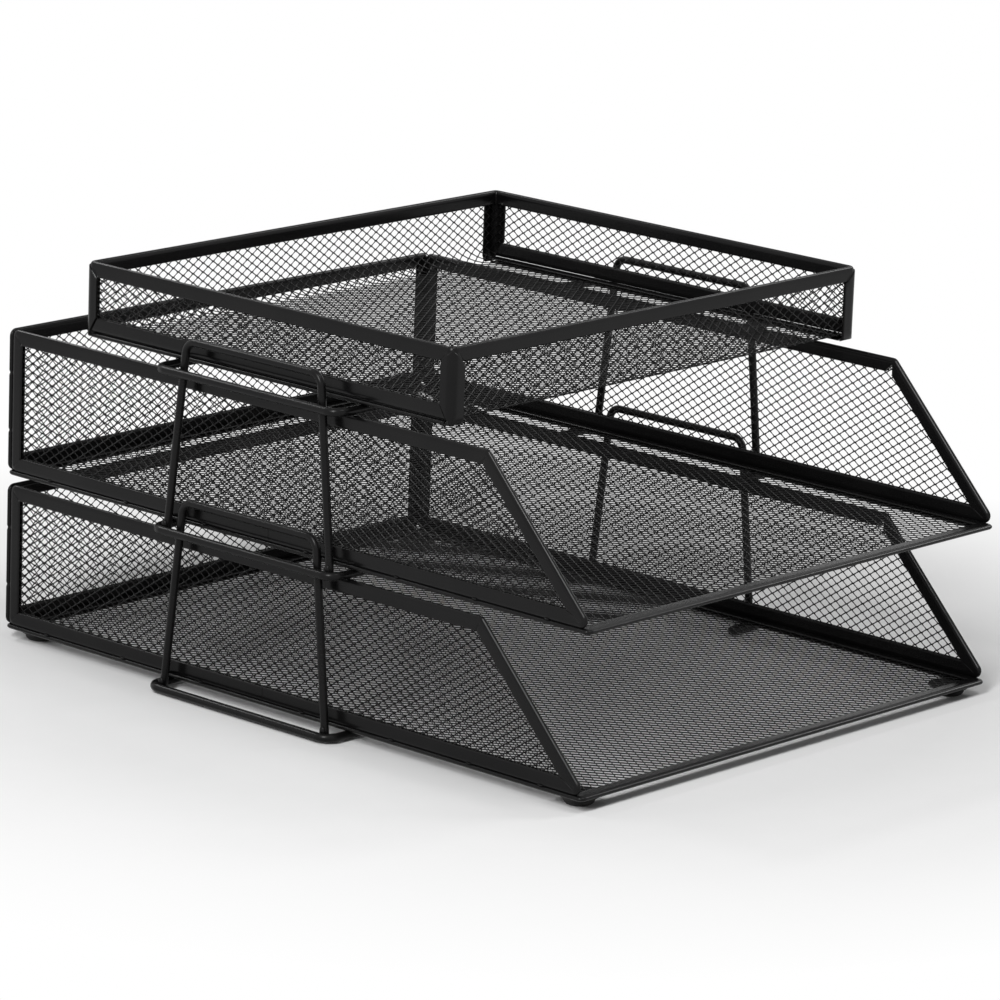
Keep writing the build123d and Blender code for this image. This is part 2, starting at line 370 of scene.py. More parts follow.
strip = {
    "thick": boxSize("bottom_floor_frame").z,
    "flange": boxSize("top_left_rim").z,
    "sheet": 0.62 * mm,
    "nose": 2.3 * mm,  # the folded edge's rounding starts this far in
    "noseSteps": 9,
    "noseCurve": 1.5,  # points drawn together towards the folded edge
    "noseSeam": 1.0,  # seams sink the skin up to this turn of the nose, radians
    "throat": (0.30, 0.46),  # inside of the fold, shares of the nose and of the thickness
    "throatEnd": (0.55, 0.10),
    "hem": 0.9 * mm,  # inner edge, turned in to the mesh
    "hemTurn": 0.42 * mm,
    "hemSteps": 3,
    "hemInside": 0.1,  # inner skin short of the hem, share of it
    "corner": 3.2 * mm,  # rounding of a panel's corners
    "cornerStep": 15.0,  # degrees
    "cornerLeast": 3,  # steps
    "mitreWide": 0.42 * mm,
    "mitreDeep": 0.34 * mm,
    "seamWide": 0.22 * mm,
    "seamDeep": 0.24 * mm,
    "pinchWide": 1.1 * mm,
    "pinchDeep": 0.5 * mm,
    "sharp": math.radians(37),  # seams and eased ends shine as lines
}


def noseDepth(d):  # how far the outer skin has rounded in, d from the folded edge
    reach = max(0.0, strip["nose"] - d) / strip["nose"]
    return strip["thick"] / 2 * (1 - math.sqrt(max(0.0, 1 - reach ** 2)))


def stripSection():  # closed loop of (d, n, lift): lift tells which way the outer skin sinks at a seam
    thick, flange, sheet = strip["thick"], strip["flange"], strip["sheet"]
    nose, hem, hemTurn = strip["nose"], strip["hem"], strip["hemTurn"]
    half = []
    for step in range(strip["hemSteps"] + 1):
        turn = math.pi / 2 * (1 - step / strip["hemSteps"])
        half.append((flange - hem + hem * math.sin(turn), hemTurn * (1 - math.cos(turn)), 1))
    for step in range(strip["noseSteps"]):
        turn = math.pi / 2 * (1 - (1 - step / strip["noseSteps"]) ** strip["noseCurve"])
        lift = 1 if turn < strip["noseSeam"] else 0
        half.append((nose * (1 - math.sin(turn)), thick / 2 * (1 - math.cos(turn)), lift))
    tip = [(0.0, thick / 2, 0)]
    throat, throatEnd = strip["throat"], strip["throatEnd"]
    inside = [(nose * throat[0], thick * throat[1], 0),
              (nose * throatEnd[0], sheet + thick * throatEnd[1], 0),
              (flange - hem, sheet, 0),
              (flange - hem * strip["hemInside"], hemTurn + sheet / 2, 0)]
    outerSide = half + tip + [(d, thick - n, -lift) for d, n, lift in reversed(half)]
    innerSide = [(d, thick - n, 0) for d, n, lift in reversed(inside)] + inside
    return outerSide + innerSide


def edgesAt(outline, index):  # both edges at a corner, and the ways in from them
    here = Vector(outline[index])
    before = (here - Vector(outline[index - 1])).normalized()
    after = (Vector(outline[(index + 1) % len(outline)]) - here).normalized()
    return before, after, Vector((-before.y, before.x)), Vector((-after.y, after.x))


def insetCorner(outline, index, distance):
    inBefore, inAfter = edgesAt(outline, index)[2:]
    return Vector(outline[index]) + (inBefore + inAfter) * (distance / (1 + inBefore.dot(inAfter)))


def turned(direction, angle):
    cosine, sine = math.cos(angle), math.sin(angle)
    return Vector((direction.x * cosine - direction.y * sine, direction.x * sine + direction.y * cosine))


def foldedFrame(outline, plane, seams=(), pinches=()):
    # strip folded round a whole panel; seams and pinches are (edge, distance from the edge's start)
    section = stripSection()
    radius = strip["corner"]
    stations = []  # (kind, corner or edge, place, how much)
    for index in range(len(outline)):
        before, after, inBefore, inAfter = edgesAt(outline, index)
        turn = math.acos(max(-1, min(1, inBefore.dot(inAfter))))
        steps = max(strip["cornerLeast"], round(math.degrees(turn) / strip["cornerStep"]))
        stations += [("corner", index, step / steps, turn) for step in range(steps + 1)]
        marks = [(at, "seam") for edge, at in seams if edge == index]
        marks += [(at, "pinch") for edge, at in pinches if edge == index]
        for at, kind in sorted(marks):
            for side, sink in ((-2, 0.0), (-1, 0.0), (0, 1.0), (1, 0.0), (2, 0.0)):
                stations.append((kind, index, at + side * strip[kind + "Wide"], sink))
    verts = []
    for kind, index, share, extra in stations:
        before, after, inBefore, inAfter = edgesAt(outline, index)
        for d, n, lift in section:
            sink = 0.0
            if kind == "corner":
                point = insetCorner(outline, index, max(d, radius))
                if d < radius:
                    point = point + turned(-inBefore, share * extra) * (radius - d)
                elif lift and share == 0:
                    point = point - before * strip["mitreWide"]
                elif lift and share == 1:
                    point = point + after * strip["mitreWide"]
                elif lift:
                    sink = strip["mitreDeep"] * lift
            else:
                pressed = strip["pinchDeep"] * extra if kind == "pinch" and d < strip["nose"] else 0.0
                point = Vector(outline[index]) + after * share + inAfter * (d + pressed)
                sink = strip["seamDeep"] * lift * extra if kind == "seam" else 0.0
            verts.append(plane.at(point.x, point.y, n + sink))
    return verts, skin(ringRows(verts, len(section)), closed=True)


def ringRows(verts, count):  # the points, taken a ring at a time
    return [range(start, start + count) for start in range(0, len(verts), count)]


def skin(rows, closed=False):  # four-sided faces between closed rings of points
    faces = []
    for row, following in zip(rows, rows[1:] + rows[:1] if closed else rows[1:]):
        for k in range(len(row)):
            k2 = (k + 1) % len(row)
            faces.append((row[k], row[k2], following[k2], following[k]))
    return faces


bead = {"rings": 5, "segments": 9, "wobble": 0.10, "lobes": 3, "twist": 2}
axisX, axisY, axisZ = Vector((1, 0, 0)), Vector((0, 1, 0)), Vector((0, 0, 1))


def blob(centre, along, across, up, sizes):
    # small bead of weld metal
    verts = []
    for ring in range(bead["rings"] + 1):
        tilt = math.pi * ring / bead["rings"]
        for segment in range(bead["segments"]):
            turn = 2 * math.pi * segment / bead["segments"]
            wobble = 1 + bead["wobble"] * math.sin(bead["lobes"] * turn + bead["twist"] * ring)
            verts.append(centre + along * (sizes[0] * math.cos(tilt))
                         + across * (sizes[1] * wobble * math.sin(tilt) * math.cos(turn))
                         + up * (sizes[2] * wobble * math.sin(tilt) * math.sin(turn)))
    return verts, skin(ringRows(verts, bead["segments"]))


def joined(*parts):
    verts, faces = [], []
    for partVerts, partFaces in parts:
        shift = len(verts)
        verts += partVerts
        faces += [tuple(v + shift for v in face) for face in partFaces]
    return verts, faces


def cleaned(verts, faces):
    # drops faces that fold to nothing where a corner's inner points meet
    keys, order, names = {}, [], []
    for v in verts:
        key = tuple(round(c * pieceMesh["grid"]) for c in v)
        if key not in keys:
            keys[key] = len(order)
            order.append(v)
        names.append(keys[key])
    kept = []
    for face in faces:
        loop = []
        for v in face:
            if names[v] not in loop:
                loop.append(names[v])
        if len(loop) > 2:
            kept.append(tuple(loop))
    return order, kept


def cutNotch(piece, cutter):
    # boolean cut, applied
    mesh = bpy.data.meshes.new("cutter")
    mesh.from_pydata([tuple(v) for v in cutter[0]], [], cutter[1])
    mesh.update()
    tool = bpy.data.objects.new("cutter", mesh)
    bpy.context.scene.collection.objects.link(tool)
    piece.modifiers.clear()
    cut = piece.modifiers.new("notch", "BOOLEAN")
    cut.operation, cut.object, cut.solver = "DIFFERENCE", tool, "EXACT"
    evaluated = piece.evaluated_get(bpy.context.evaluated_depsgraph_get())
    result = bpy.data.meshes.new_from_object(evaluated)
    piece.modifiers.clear()
    piece.data = result
    bpy.data.objects.remove(tool)


# Letter trays

letterTray = {
    "mouthBack": 55.7 * mm,  # lip to the upper end of a side wall's slope
    "mouthRun": 58.0 * mm,
    "meshDepth": 1.25 * mm,  # middle of the mesh, in from a panel's outer face
    "tuck": 0.35 * mm,  # walls pressed on the floor frame and on the back wall
    "notchWide": 3.6 * mm,
    "notchDeep": 0.55,  # of the way from the flange's inner corner to the outer one
    "notchReach": 1.0 * mm,  # cutter, past both faces
    "seam": {"bottom": 10.0 * mm, "middle": 9.0 * mm},  # butt joint of the wall's strip, along Y
    "nicks": (0.31, 0.72),  # places up the back frame's sides, of its height
    "welds": (-142.0 * mm, -104.0 * mm, -62.0 * mm, -12.0 * mm, 46.0 * mm, 92.0 * mm, 138.0 * mm),
    "weldInset": 0.25 * mm,
    "weldSize": (1.3 * mm, 0.34 * mm, 0.40 * mm),
}


def rectangle(u0, v0, u1, v1):
    return [(u0, v0), (u1, v0), (u1, v1), (u0, v1)]


def inner(box, distance):
    return box[0] + distance, box[1] + distance, box[2] - distance, box[3] - distance


def letterFloor(tray):
    low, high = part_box(f"{tray}_floor_frame")
    plane = Plane((0, 0, low.z), (1, 0, 0), (0, 1, 0), (0, 0, 1))
    edge = (low.x, low.y, high.x, high.y)
    verts, faces = cleaned(*foldedFrame(rectangle(*edge), plane))
    addPiece(f"{tray}FloorFrame", verts, faces, stripCoat, "coated_strip", bodyOf(tray),
             [f"{tray}_floor_frame"], strip["sharp"])
    window = inner(edge, strip["flange"])
    latticeMesh(f"{tray}FloorMesh", window, inWindow(window), (steelMesh["short"], steelMesh["long"]),
                flatPlace(plane, letterTray["meshDepth"]), tray, [f"{tray}_floor_mesh"])


def sideWall(tray, side):
    low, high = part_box(f"{tray}_{side}_wall_frame")
    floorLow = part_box(f"{tray}_floor_frame")[0]
    sign = -1 if side == "left" else 1
    outer = low.x if side == "left" else high.x
    plane = Plane((outer, 0, 0), (0, 1, 0), (0, 0, 1), (-sign, 0, 0))
    slopeTop = floorLow.y + letterTray["mouthBack"]
    slopeFoot = slopeTop - letterTray["mouthRun"]
    foot, rear = low.z - letterTray["tuck"], high.y + letterTray["tuck"]
    outline = [(slopeFoot, foot), (rear, foot), (rear, high.z), (slopeTop, high.z)]
    seam = letterTray["seam"][tray] - slopeFoot
    shell = cleaned(*foldedFrame(outline, plane, seams=[(0, seam)]))
    piece = addPiece(f"{tray}{side.title()}WallFrame", *shell, stripCoat, "coated_strip", bodyOf(tray),
                     [f"{tray}_{side}_wall_frame"])
    inside = insetCorner(outline, 3, strip["flange"])
    corner = Vector(outline[3])
    tip = inside.lerp(corner, letterTray["notchDeep"])
    away = (corner - inside).normalized()
    across = Vector((-away.y, away.x)) * letterTray["notchWide"] / 2
    shape = [tip, inside - across, inside * 2 - tip, inside + across]
    reach = letterTray["notchReach"]
    deep = strip["thick"] + 2 * reach
    prism = [plane.at(p.x, p.y, -reach) for p in shape] + [plane.at(p.x, p.y, deep) for p in shape]
    sides = [(k, (k + 1) % 4, 4 + (k + 1) % 4, 4 + k) for k in range(4)]
    cutNotch(piece, (prism, [(3, 2, 1, 0), (4, 5, 6, 7)] + sides))
    piece.data.set_sharp_from_angle(angle=strip["sharp"])
    evenNormals(piece)
    window = (insetCorner(outline, 0, strip["flange"]).x, low.z + strip["flange"],
              high.y - strip["flange"], high.z - strip["flange"])
    slope = Vector(outline[0]) - Vector(outline[3])
    inward = Vector((-slope.y, slope.x)).normalized()
    edgePoint = Vector(outline[3]) + inward * strip["flange"]
    latticeMesh(f"{tray}{side.title()}WallMesh", window, inWindow(window, (edgePoint, inward)),
                (steelMesh["long"], steelMesh["short"]), flatPlace(plane, letterTray["meshDepth"]), tray,
                [f"{tray}_{side}_wall_mesh"])


def backWall(tray):
    low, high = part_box(f"{tray}_back_wall_frame")
    plane = Plane((0, high.y, 0), (1, 0, 0), (0, 0, 1), (0, -1, 0))
    edge = (low.x, low.z - letterTray["tuck"], high.x, high.z)
    tall = high.z - low.z
    nicks = [(edgeNumber, share * tall) for edgeNumber in (1, 3) for share in letterTray["nicks"]]
    shell = cleaned(*foldedFrame(rectangle(*edge), plane, pinches=nicks))
    addPiece(f"{tray}BackWallFrame", *shell, stripCoat, "coated_strip", bodyOf(tray),
             [f"{tray}_back_wall_frame"], strip["sharp"])
    window = inner(edge, strip["flange"])
    latticeMesh(f"{tray}BackWallMesh", window, inWindow(window), (steelMesh["long"], steelMesh["short"]),
                flatPlace(plane, letterTray["meshDepth"]), tray, [f"{tray}_back_wall_mesh"])


def frameWelds(tray):
    # spot welds along the seam between the floor frame and the side walls
    low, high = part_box(f"{tray}_floor_frame")
    parts = []
    for sign, x in ((-1, low.x), (1, high.x)):
        for y in letterTray["welds"]:
            centre = Vector((x - sign * letterTray["weldInset"], y, high.z))
            parts.append(blob(centre, axisY, axisX, axisZ, letterTray["weldSize"]))
    addPiece(f"{tray}SpotWelds", *joined(*parts), stripCoat, "coated_strip", bodyOf(tray))


for tray in ("bottom", "middle"):
    letterFloor(tray)
    for side in ("left", "right"):
        sideWall(tray, side)
    backWall(tray)
    frameWelds(tray)
print("letter trays made")


# Bent wire

wire = {
    "sides": 18,
    "bendSteps": 9,
    "loopBend": 6.0 * mm,
    "archBend": 5.5 * mm,
    "archTop": 75.5 * mm,
    "archRadius": 1.7 * mm,
    "ease": 0.35,  # rounding of the cut ends, share of the radius
    "easeMiddle": 0.3,  # its middle ring, share of the rounding
    "loopWeldReach": (3.5 * mm, 9.0 * mm),  # in from the ends of the arms
    "loopWeldDrop": 0.35 * mm,
    "loopWeldSize": (2.2 * mm, 1.9 * mm, 0.38 * mm),
    "archWeldOut": 0.1 * mm,
    "archWeldRise": 2.2 * mm,
    "archWeldSize": (2.0 * mm, 0.8 * mm, 1.5 * mm),
}


def wirePath(points, bend):
    path = [points[0]]
    for before, here, after in zip(points, points[1:], points[2:]):
        toBefore, toAfter = (before - here).normalized(), (after - here).normalized()
        half = toBefore.angle(toAfter) / 2
        reach = bend / math.tan(half)
        centre = here + (toBefore + toAfter).normalized() * (bend / math.sin(half))
        first = here + toBefore * reach - centre
        last = here + toAfter * reach - centre
        sweep = math.pi - 2 * half
        for step in range(wire["bendSteps"] + 1):
            share = step / wire["bendSteps"]
            spread = first * math.sin((1 - share) * sweep) + last * math.sin(share * sweep)
            path.append(centre + spread / math.sin(sweep))
    return path + [points[-1]]


def wireTube(points, radius, bend):
    # round bar with eased ends
    path = wirePath(points, bend)
    ease = wire["ease"] * radius
    middle = wire["easeMiddle"] * ease
    runs = []
    for index, here in enumerate(path):
        before, after = path[max(0, index - 1)], path[min(len(path) - 1, index + 1)]
        runs.append((here, (after - before).normalized(), radius))
    (start, startWay, unused), (end, endWay, unused) = runs[0], runs[-1]
    rings = [(start, startWay, radius - ease), (start + startWay * middle, startWay, radius - middle)]
    rings += [(start + startWay * ease, startWay, radius)] + runs[1:-1]
    rings += [(end - endWay * ease, endWay, radius)]
    rings += [(end - endWay * middle, endWay, radius - middle), (end, endWay, radius - ease)]
    side = startWay.orthogonal().normalized()
    verts, count = [], wire["sides"]
    for here, along, size in rings:
        side = (side - along * side.dot(along)).normalized()
        other = along.cross(side)
        for step in range(count):
            turn = 2 * math.pi * step / count
            verts.append(here + side * (size * math.cos(turn)) + other * (size * math.sin(turn)))
    rows = ringRows(verts, count)
    return verts, skin(rows) + [tuple(reversed(rows[0])), tuple(rows[-1])]


def wireLoop(tray, side):
    node = f"{tray}_{side}_loop"
    low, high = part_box(node)
    radius = (high.z - low.z) / 2
    level = (high.z + low.z) / 2
    bar, grip = (low.x + radius, high.x) if side == "left" else (high.x - radius, low.x)
    front, back = low.y + radius, high.y - radius
    points = [Vector((x, y, level)) for x, y in ((grip, front), (bar, front), (bar, back), (grip, back))]
    inward = 1 if side == "left" else -1
    parts = [wireTube(points, radius, wire["loopBend"])]
    for y in (front, back):  # welds under the floor frame
        for reach in wire["loopWeldReach"]:
            centre = Vector((grip - inward * reach, y, high.z - wire["loopWeldDrop"]))
            parts.append(blob(centre, axisX, axisY, axisZ, wire["loopWeldSize"]))
    addPiece(f"{tray}{side.title()}Loop", *joined(*parts), wireCoat, "coated_wire", bodyOf(tray), [node])


def wireArch(tray, side):
    node = f"{tray}_{side}_upright"
    low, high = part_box(node)
    radius = wire["archRadius"]
    middle = (low.y + high.y) / 2
    footX, topX = (low.x + radius, high.x - radius) if side == "left" else (high.x - radius, low.x + radius)
    foot, top = (high.y - low.y) / 2 - radius, wire["archTop"] / 2
    points = [Vector((footX, middle + foot, low.z)), Vector((topX, middle + top, high.z - radius)),
              Vector((topX, middle - top, high.z - radius)), Vector((footX, middle - foot, low.z))]
    parts = [wireTube(points, radius, wire["archBend"])]
    outward = -1 if side == "left" else 1
    for end in (1, -1):  # welds between each foot and the loop's bar
        weldX = footX + outward * (radius + wire["archWeldOut"])
        centre = Vector((weldX, middle + end * foot, low.z + wire["archWeldRise"]))
        parts.append(blob(centre, axisZ, axisX, axisY, wire["archWeldSize"]))
    addPiece(f"{tray}{side.title()}Arch", *joined(*parts), wireCoat, "coated_wire", bodyOf(tray), [node])


for tray in ("bottom", "middle", "top"):
    for side in ("left", "right"):
        wireLoop(tray, side)
        if tray != "top":
            wireArch(tray, side)
print("wire stands made")


# Top tray

basket = {
    "bend": 6.55 * mm,  # middle of the sheet, at its two bends
    "corner": 3.0 * mm,
    "proud": 0.45 * mm,  # corner strips over the rims
    "easedProud": 0.3,  # share of that at their edges
    "stripSheet": 0.62 * mm,
    "frontLeg": 7.2 * mm,  # corner strip, along the front or back wall
    "footRise": 0.4 * mm,
    "easing": 0.45 * mm,  # rounded edges of the corner strips
    "topGap": 0.25 * mm,
    "envelope": 3.0 * mm,  # rounding of the tray's lower front and back edges
    "hiddenTop": 1.2 * mm,  # upper edge of the mesh, under the rim's fold
    "floorReach": 4.0 * mm,  # floor strips, on towards the corners
    "bandStart": 2.9 * mm,  # fold of the side walls' strips, in from the corners
    "bandGap": 0.4 * mm,  # left open between those strips and the corner strips
    "grooveWide": 0.35 * mm,  # half the groove in a rim beside each corner strip
    "grooveDeep": 0.35 * mm,
    "rimLeans": (0, 15, 30, 45),  # degrees, half of each rounded corner
    "legShares": (0.66, 0.33, 0.0),  # points along the corner strips' legs
    "turnSteps": 8,  # round their fold
    "riseSteps": 12,  # and up their height
}


def basketBox():
    corners = [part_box(f"top_{part}_rim") for part in ("front", "back", "left", "right")]
    low = Vector([min(c[0][k] for c in corners) for k in range(3)])
    high = Vector([max(c[1][k] for c in corners) for k in range(3)])
    low.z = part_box("top_left_floor_strip")[0].z
    return low, high


def basketSheet():
    # one sheet: down the front, along the floor and up the back
    low, high = basketBox()
    depth, bend = letterTray["meshDepth"], basket["bend"]
    frontY, backY, floorZ = low.y + depth, high.y - depth, low.z + depth
    topZ = high.z - basket["hiddenTop"]
    rise, arc = topZ - floorZ - bend, bend * math.pi / 2
    floorRun = backY - frontY - 2 * bend
    total = 2 * rise + 2 * arc + floorRun

    def place(us, vs, ns):
        y, z, ny, nz = (np.zeros_like(vs) for unused in range(4))
        s = vs + total / 2
        marks = np.cumsum([rise, arc, floorRun, arc])
        part = np.searchsorted(marks, s)
        for k in range(5):
            here = part == k
            along = s[here] - (0 if k == 0 else marks[k - 1])
            if k == 0:
                y[here], z[here], ny[here] = frontY, topZ - along, 1
            elif k == 1:
                turn = along / bend
                y[here] = frontY + bend - bend * np.cos(turn)
                z[here] = floorZ + bend - bend * np.sin(turn)
                ny[here], nz[here] = np.cos(turn), np.sin(turn)
            elif k == 2:
                y[here], z[here], nz[here] = frontY + bend + along, floorZ, 1
            elif k == 3:
                turn = along / bend
                y[here] = backY - bend + bend * np.sin(turn)
                z[here] = floorZ + bend - bend * np.cos(turn)
                ny[here], nz[here] = -np.sin(turn), np.cos(turn)
            else:
                y[here], z[here], ny[here] = backY, floorZ + bend + along, -1
        return np.stack([us, y + ny * ns, z + nz * ns], 1)

    hidden = strip["flange"] - basket["hiddenTop"]
    window = (low.x + strip["flange"], hidden - total / 2, high.x - strip["flange"], total / 2 - hidden)
    replaced = ["top_floor_mesh", "top_front_mesh", "top_back_mesh", "top_front_bend_mesh",
                "top_back_bend_mesh"]
    latticeMesh("topSheetMesh", window, inWindow(window), (steelMesh["long"], steelMesh["short"]), place,
                "top", replaced)


def basketSide(side):
    low, high = basketBox()
    outer = low.x if side == "left" else high.x
    plane = Plane((outer, 0, 0), (0, 1, 0), (0, 0, 1), (1 if side == "left" else -1, 0, 0))
    flange, thick = strip["flange"], strip["thick"]
    window = (low.y + flange, low.z + thick + flange, high.y - flange, high.z - flange)
    pitch = (steelMesh["long"], steelMesh["short"])
    latticeMesh(f"top{side.title()}WallMesh", window, inWindow(window), pitch,
                flatPlace(plane, letterTray["meshDepth"]), "top", [f"top_{side}_wall_mesh"])


def straightStrip(plane, length, startCut=0.0, endCut=0.0):
    # strip along u, its fold on v = 0 and its hem at v = -flange
    # each cut is how far an end leans in by its hem
    section = stripSection()
    verts = []
    for share, lean in ((0.0, startCut), (1.0, -endCut)):
        verts += [plane.at(share * length + lean * d / strip["flange"], -d, n) for d, n, unused in section]
    return verts, capped(ringRows(verts, len(section)))


def capped(rows):  # skin with both ends closed
    return skin(rows) + [tuple(rows[0]), tuple(reversed(rows[-1]))]


def basketRims():
    # each rim runs from the middle of one rounded corner to that of the next, grooved along both mitres
    low, high = basketBox()
    radius, wide, deep = basket["corner"], basket["grooveWide"], basket["grooveDeep"]
    inX, inY = (low.x + radius, high.x - radius), (low.y + radius, high.y - radius)
    frontLeft, frontRight = Vector((inX[0], inY[0])), Vector((inX[1], inY[0]))
    backRight, backLeft = Vector((inX[1], inY[1])), Vector((inX[0], inY[1]))
    runs = {"front": (frontLeft, frontRight, -90), "right": (frontRight, backRight, 0),
            "back": (backRight, backLeft, 90), "left": (backLeft, frontLeft, 180)}
    section = stripSection()
    for name, (first, second, facing) in runs.items():
        along = (second - first).normalized()
        groove = [(wide, 0.0), (2 * wide, deep), (3 * wide, 0.0)]  # (place, depth)
        stations = [(first, facing - lean, None, 0.0) for lean in reversed(basket["rimLeans"])]
        stations += [(first, facing, place, sink) for place, sink in groove]
        stations += [(second, facing, -place, sink) for place, sink in reversed(groove)]
        stations += [(second, facing + lean, None, 0.0) for lean in basket["rimLeans"]]
        verts = []
        for centre, degrees, place, sink in stations:
            outward = turned(Vector((1, 0)), math.radians(degrees))
            for d, n, lift in section:
                beyond = max(0.0, d - radius)
                spot = centre + outward * (radius - n - (sink * lift if beyond else 0.0))
                if place:
                    spot = spot + along * (place + math.copysign(beyond, place))
                verts.append(Vector((spot.x, spot.y, high.z - d)))
        faces = capped(ringRows(verts, len(section)))
        addPiece(f"top{name.title()}Rim", verts, faces, stripCoat, "coated_strip", "top_tray",
                 [f"top_{name}_rim"], strip["sharp"])


def basketBands():
    # strips along the foot of the side walls, mitred at their ends, and along the floor's edges
    low, high = basketBox()
    start, end = low.y + basket["bandStart"], high.y - basket["bandStart"]
    cut = strip["flange"] + basket["bandGap"] - basket["bandStart"]
    for side in ("left", "right"):
        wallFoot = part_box(f"top_{side}_wall_strip")[0].z
        inward = 1 if side == "left" else -1
        outer = low.x if side == "left" else high.x
        plane = Plane((outer, start, wallFoot), (0, 1, 0), (0, 0, -1), (inward, 0, 0))
        addPiece(f"top{side.title()}WallStrip", *straightStrip(plane, end - start, cut, cut), stripCoat,
                 "coated_strip", "top_tray", [f"top_{side}_wall_strip"])
        floorLow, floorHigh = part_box(f"top_{side}_floor_strip")
        reach = basket["floorReach"]
        plane = Plane((outer, floorLow.y - reach, low.z), (0, 1, 0), (-inward, 0, 0), (0, 0, 1))
        addPiece(f"top{side.title()}FloorStrip", *straightStrip(plane, floorHigh.y - floorLow.y + 2 * reach),
                 stripCoat, "coated_strip", "top_tray", [f"top_{side}_floor_strip"])


def cornerStations():
    # plan of a corner strip: (x in, y in, outward normal, whether it stands proud in full)
    radius, flange, front = basket["corner"], strip["flange"], basket["frontLeg"]
    shares = (1.0, 1 - basket["easing"] / flange) + basket["legShares"]
    stations = []
    for share in shares:
        stations.append((0.0, radius + share * (flange - radius), (-1, 0), share < 1))
    for step in range(1, basket["turnSteps"]):
        turn = math.pi / 2 * step / basket["turnSteps"]
        normal = (-math.cos(turn), -math.sin(turn))
        stations.append((radius + radius * normal[0], radius + radius * normal[1], normal, True))
    for share in reversed(shares):
        stations.append((radius + share * (front - radius), 0.0, (0, -1), share < 1))
    return stations


def basketCorner(end, side):
    # angle strip round an upright corner: mitred to the rims at its top and to the side's band at its foot
    low, high = basketBox()
    flange, sheet = strip["flange"], basket["stripSheet"]
    envelope, easing, steps = basket["envelope"], basket["easing"], basket["riseSteps"]
    alongX = 1 if side == "left" else -1
    alongY = 1 if end == "front" else -1
    cornerX = low.x if side == "left" else high.x
    cornerY = low.y if end == "front" else high.y
    stations = cornerStations()
    apex = basket["corner"] * (1 - math.sqrt(0.5))  # both mitres start at the middle of the rounded corner
    verts, rows = [], []
    for x, y, normal, full in stations:
        topZ = high.z - basket["topGap"] - min(max(x, y), flange)
        rise = (strip["thick"] + flange) * (y - apex) / (flange - apex) if y > x else 0.0
        footZ = low.z + basket["footRise"] + rise
        tall = topZ - footZ - 2 * easing
        heights = [footZ] + [footZ + easing + tall * step / steps for step in range(steps + 1)] + [topZ]
        for depth in (0.0, sheet):
            row = []
            for z in heights:
                eased = not full or z in (footZ, topZ)
                stand = basket["proud"] * (basket["easedProud"] if eased else 1.0)
                proud = stand - depth - noseDepth(high.z - z)
                inX, inY = x + normal[0] * proud, y + normal[1] * proud
                above = z - low.z
                if above < envelope:  # the foot follows the bend of the sheet
                    bent = envelope - math.sqrt(max(0.0, envelope ** 2 - (envelope - above) ** 2))
                    inY = max(inY, bent - proud)
                verts.append(Vector((cornerX + alongX * inX, cornerY + alongY * inY, z)))
                row.append(len(verts) - 1)
            rows.append(row)
    rings = [outer + list(reversed(under)) for outer, under in zip(rows[0::2], rows[1::2])]
    addPiece(f"top{end.title()}{side.title()}Corner", verts, capped(rings), stripCoat, "coated_strip",
             "top_tray", [f"top_{end}_{side}_corner"], strip["sharp"])


basketSheet()
for side in ("left", "right"):
    basketSide(side)
    for end in ("front", "back"):
        basketCorner(end, side)
basketRims()
basketBands()
print("top tray made")


# Feet

foot = {
    "sides": 40,
    "waist": 0.76,  # sole, share of the radius
    "round": 2.2 * mm,  # its rounding
    "roundSteps": 5,
    "dish": 0.35 * mm,  # hollow under the sole
    "dishFlat": 0.45,  # shares of the radius
    "dishEdge": 0.55,
    "brim": ((0.97, 0.80), (1.0, 0.88), (1.0, 1.0), (0.0, 1.0)),  # shares of the radius and of the height
}


def rubberFoot(node):
    low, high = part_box(node)
    centre = (low + high) / 2
    radius, tall = (high.x - low.x) / 2, high.z - low.z
    rounding, dish = foot["round"], foot["dish"]
    sole = radius * foot["waist"] - rounding
    outline = [(0.0, dish), (radius * foot["dishFlat"], dish), (radius * foot["dishEdge"], 0.0), (sole, 0.0)]
    for step in range(1, foot["roundSteps"] + 1):
        turn = math.radians(90 * step / foot["roundSteps"])
        outline.append((sole + rounding * math.sin(turn), rounding - rounding * math.cos(turn)))
    outline += [(radius * reach, tall * level) for reach, level in foot["brim"]]
    verts, count = [], foot["sides"]
    for reach, level in outline:
        for step in range(count):
            turn = 2 * math.pi * step / count
            x, y = centre.x + reach * math.cos(turn), centre.y + reach * math.sin(turn)
            verts.append(Vector((x, y, low.z + level)))
    verts, faces = cleaned(verts, skin(ringRows(verts, count)))
    name = "".join(word.title() for word in node.split("_"))
    addPiece(name[0].lower() + name[1:], verts, faces, footPad, "rubber", "bottom_tray", [node])


for end in ("front", "back"):
    for side in ("left", "right"):
        rubberFoot(f"{end}_{side}_foot")
print("feet made")


# Studio

studio = {
    "floorReach": 6.0,
    "floorDrop": 0.05 * mm,
    "floorColour": (0.92, 0.92, 0.92, 1.0),
    "floorFleck": (0.94, 0.94, 0.94, 1.0),
    "fleckScale": 60.0,
    "fleckDetail": 2.0,
    "clearNear": 0.20,  # the floor turns to plain white between these distances from the stack
    "clearFar": 0.40,
    "white": (1.0, 1.0, 1.0, 1.0),
    "strength": 1.0,
    "skyFill": (0.15, 0.15, 0.15, 1.0),
    "lampAim": (0.0, 0.0, 0.08),
}


def backdropRays(finish):  # 1 for the camera's own rays and those that gloss and glass send on
    camera = finish.node("ShaderNodeLightPath", give="Is Camera Ray")
    glossy = finish.node("ShaderNodeLightPath", give="Is Glossy Ray")
    return camera + glossy + finish.node("ShaderNodeLightPath", give="Is Transmission Ray")


